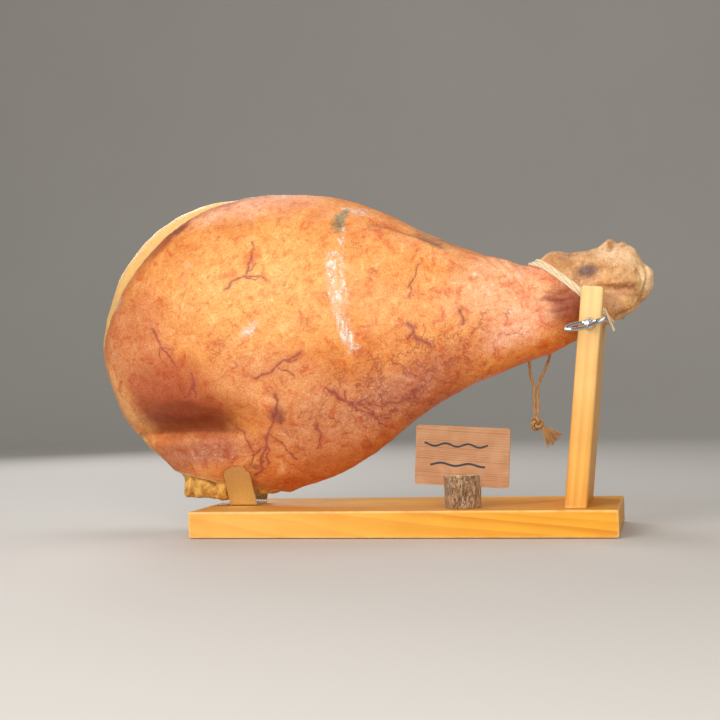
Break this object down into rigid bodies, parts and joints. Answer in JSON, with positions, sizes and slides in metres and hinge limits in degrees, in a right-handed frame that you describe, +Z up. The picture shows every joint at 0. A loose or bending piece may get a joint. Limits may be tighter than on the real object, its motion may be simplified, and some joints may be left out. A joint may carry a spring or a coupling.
{
  "type": "cured ham on a ham stand",
  "caption": "Whole bone-in cured ham lying in a steel cradle and a forked post on a wooden board, with hanging twine and a small name board on a log foot.",
  "frame": {"origin": "centre of the board's underside, the plane the stand rests on", "axes": "+X along the board from the ham's butt to its hock, +Y away from the skin side, +Z up"},
  "size_m": [0.5487, 0.1549, 0.3328],
  "materials": {
    "wood": "satin, clear-oiled pine",
    "steel": "smooth stainless steel",
    "chrome": "bright zinc plate",
    "ham": "dry amber skin, waxy fat, light salt bloom",
    "twine": "matte laid twine",
    "bark": "rough bark, sawn pale ends",
    "card_wood": "raw sawn veneer with black marker strokes"
  },
  "bodies": {
    "stand": {"base_board": "wood", "post": "wood", "post_screw_1": "steel", "post_screw_2": "steel", "cradle": "steel", "cradle_screw_1": "steel", "cradle_screw_2": "steel", "ham": "ham", "twine_wrap_1": "twine", "twine_wrap_2": "twine", "twine_hang_1": "twine", "twine_hang_2": "twine", "twine_knot": "twine", "twine_tassel": "twine", "sign_stump": "bark", "sign_plaque": "card_wood"},
    "wing_screw": {"wing_screw": "chrome"}
  },
  "joints": [
    {"name": "wing_screw_turn", "type": "hinge", "parent": "stand", "child": "wing_screw", "pos_m": [0.1781, -0.0575, 0.1903], "axis": [0, -1, 0], "range_deg": [0, 720]}
  ]
}
